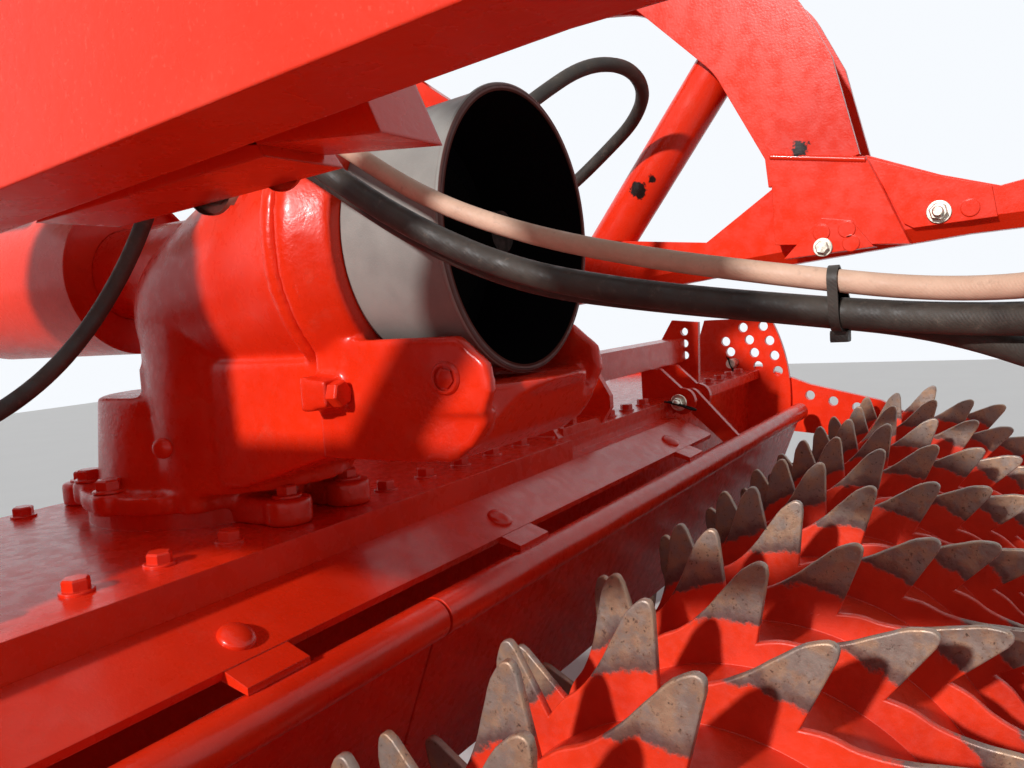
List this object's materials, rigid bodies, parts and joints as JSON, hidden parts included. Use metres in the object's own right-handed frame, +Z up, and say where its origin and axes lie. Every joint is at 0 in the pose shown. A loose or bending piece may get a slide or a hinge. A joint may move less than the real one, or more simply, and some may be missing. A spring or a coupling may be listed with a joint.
{
  "type": "power harrow with tooth packer roller",
  "caption": "Tractor-mounted power harrow with a gear trough, vertical tine rotors, levelling board, tooth packer roller and arms that can carry a seed drill.",
  "frame": {"origin": "floor level, centre of the machine's outline", "axes": "+X is the machine's left, -Y is the front towards the tractor, +Z is up"},
  "size_m": [3.106, 1.4899, 1.33],
  "materials": {
    "red_paint": "gloss orange-red powder coat",
    "cast_red": "gloss orange-red paint on rough casting",
    "black_plastic": "matt moulded",
    "tine_steel": "red paint worn to bare steel at the tips",
    "roller_steel": "red paint worn to brown steel at the tooth tips",
    "zinc_steel": "zinc plated",
    "black_rubber": "matt, cloth-marked",
    "beige_rubber": "matt, dusty",
    "shaft_steel": "greased steel"
  },
  "bodies": {
    "frame": {"gear_trough": "red_paint", "trough_lid": "red_paint", "rear_stiffener_bar": "red_paint", "rear_guard_plate": "red_paint", "levelling_board_left": "red_paint", "levelling_board_right": "red_paint", "gearbox_housing": "cast_red", "gearbox_rear_cover": "cast_red", "rear_shaft_guard": "black_plastic", "front_shaft_guard": "red_paint", "headstock_side_left": "red_paint", "headstock_side_right": "red_paint", "lower_link_bracket_left": "red_paint", "lower_link_bracket_right": "red_paint", "headstock_mast": "red_paint", "top_link_ears": "red_paint", "foot_brackets": "red_paint", "stand_brackets": "red_paint", "board_brackets": "red_paint", "board_arms": "red_paint", "drill_arm_left": "red_paint", "drill_arm_right": "red_paint", "swan_neck_left": "red_paint", "swan_neck_right": "red_paint", "brace_tubes": "red_paint", "end_plate_left": "red_paint", "end_plate_right": "red_paint", "depth_pins": "zinc_steel", "front_coupling_shelf": "zinc_steel", "rear_coupling_plate": "zinc_steel", "supply_hose": "black_rubber", "return_hose": "black_rubber", "drain_hose": "beige_rubber", "feed_hose": "black_rubber", "loop_hose": "black_rubber"},
    "drive_shaft": {"drive_shaft": "shaft_steel"},
    "roller_frame": {"roller_arm_left": "red_paint", "roller_arm_right": "red_paint", "scraper_beam": "red_paint"},
    "roller": {"packer_roller": "roller_steel"},
    "rotor_01": {"rotor_01": "tine_steel"},
    "rotor_02": {"rotor_02": "tine_steel"},
    "rotor_03": {"rotor_03": "tine_steel"},
    "rotor_04": {"rotor_04": "tine_steel"},
    "rotor_05": {"rotor_05": "tine_steel"},
    "rotor_06": {"rotor_06": "tine_steel"},
    "rotor_07": {"rotor_07": "tine_steel"},
    "rotor_08": {"rotor_08": "tine_steel"},
    "rotor_09": {"rotor_09": "tine_steel"},
    "rotor_10": {"rotor_10": "tine_steel"},
    "deflector_left": {"side_deflector_left": "red_paint"},
    "stand_left": {"parking_stand_left": "red_paint"},
    "deflector_right": {"side_deflector_right": "red_paint"},
    "stand_right": {"parking_stand_right": "red_paint"}
  },
  "joints": [
    {"name": "roller_frame_pivot", "type": "hinge", "parent": "frame", "child": "roller_frame", "pos_m": [0, -0.335, 0.56], "axis": [-1, 0, 0], "range_deg": [0, 5]},
    {"name": "roller_spin", "type": "hinge", "parent": "roller_frame", "child": "roller", "pos_m": [0, 0.367, 0.29], "axis": [1, 0, 0], "continuous": true},
    {"name": "drive_shaft_spin", "type": "hinge", "parent": "frame", "child": "drive_shaft", "pos_m": [0, -0.185, 0.867], "axis": [0, 1, 0], "continuous": true},
    {"name": "rotor_01_spin", "type": "hinge", "parent": "frame", "child": "rotor_01", "pos_m": [-1.35, -0.185, 0.4], "axis": [0, 0, 1], "continuous": true},
    {"name": "rotor_02_spin", "type": "hinge", "parent": "frame", "child": "rotor_02", "pos_m": [-1.05, -0.185, 0.4], "axis": [0, 0, 1], "continuous": true},
    {"name": "rotor_03_spin", "type": "hinge", "parent": "frame", "child": "rotor_03", "pos_m": [-0.75, -0.185, 0.4], "axis": [0, 0, 1], "continuous": true},
    {"name": "rotor_04_spin", "type": "hinge", "parent": "frame", "child": "rotor_04", "pos_m": [-0.45, -0.185, 0.4], "axis": [0, 0, 1], "continuous": true},
    {"name": "rotor_05_spin", "type": "hinge", "parent": "frame", "child": "rotor_05", "pos_m": [-0.15, -0.185, 0.4], "axis": [0, 0, 1], "continuous": true},
    {"name": "rotor_06_spin", "type": "hinge", "parent": "frame", "child": "rotor_06", "pos_m": [0.15, -0.185, 0.4], "axis": [0, 0, 1], "continuous": true},
    {"name": "rotor_07_spin", "type": "hinge", "parent": "frame", "child": "rotor_07", "pos_m": [0.45, -0.185, 0.4], "axis": [0, 0, 1], "continuous": true},
    {"name": "rotor_08_spin", "type": "hinge", "parent": "frame", "child": "rotor_08", "pos_m": [0.75, -0.185, 0.4], "axis": [0, 0, 1], "continuous": true},
    {"name": "rotor_09_spin", "type": "hinge", "parent": "frame", "child": "rotor_09", "pos_m": [1.05, -0.185, 0.4], "axis": [0, 0, 1], "continuous": true},
    {"name": "rotor_10_spin", "type": "hinge", "parent": "frame", "child": "rotor_10", "pos_m": [1.35, -0.185, 0.4], "axis": [0, 0, 1], "continuous": true},
    {"name": "deflector_left_hinge", "type": "hinge", "parent": "frame", "child": "deflector_left", "pos_m": [1.538, -0.215, 0.424], "axis": [0, -1, 0], "range_deg": [0, 80]},
    {"name": "stand_left_hinge", "type": "hinge", "parent": "frame", "child": "stand_left", "pos_m": [0.9, -0.417, 0.54], "axis": [0, -1, 0], "range_deg": [0, 90]},
    {"name": "deflector_right_hinge", "type": "hinge", "parent": "frame", "child": "deflector_right", "pos_m": [-1.538, -0.215, 0.424], "axis": [0, 1, 0], "range_deg": [0, 80]},
    {"name": "stand_right_hinge", "type": "hinge", "parent": "frame", "child": "stand_right", "pos_m": [-0.9, -0.417, 0.54], "axis": [0, 1, 0], "range_deg": [0, 90]}
  ],
  "couplings": [
    {"joint": "rotor_02_spin", "follows": "rotor_01_spin", "ratio": -1},
    {"joint": "rotor_03_spin", "follows": "rotor_01_spin", "ratio": 1},
    {"joint": "rotor_04_spin", "follows": "rotor_01_spin", "ratio": -1},
    {"joint": "rotor_05_spin", "follows": "rotor_01_spin", "ratio": 1},
    {"joint": "rotor_06_spin", "follows": "rotor_01_spin", "ratio": -1},
    {"joint": "rotor_07_spin", "follows": "rotor_01_spin", "ratio": 1},
    {"joint": "rotor_08_spin", "follows": "rotor_01_spin", "ratio": -1},
    {"joint": "rotor_09_spin", "follows": "rotor_01_spin", "ratio": 1},
    {"joint": "rotor_10_spin", "follows": "rotor_01_spin", "ratio": -1},
    {"joint": "drive_shaft_spin", "follows": "rotor_01_spin", "ratio": 3}
  ]
}
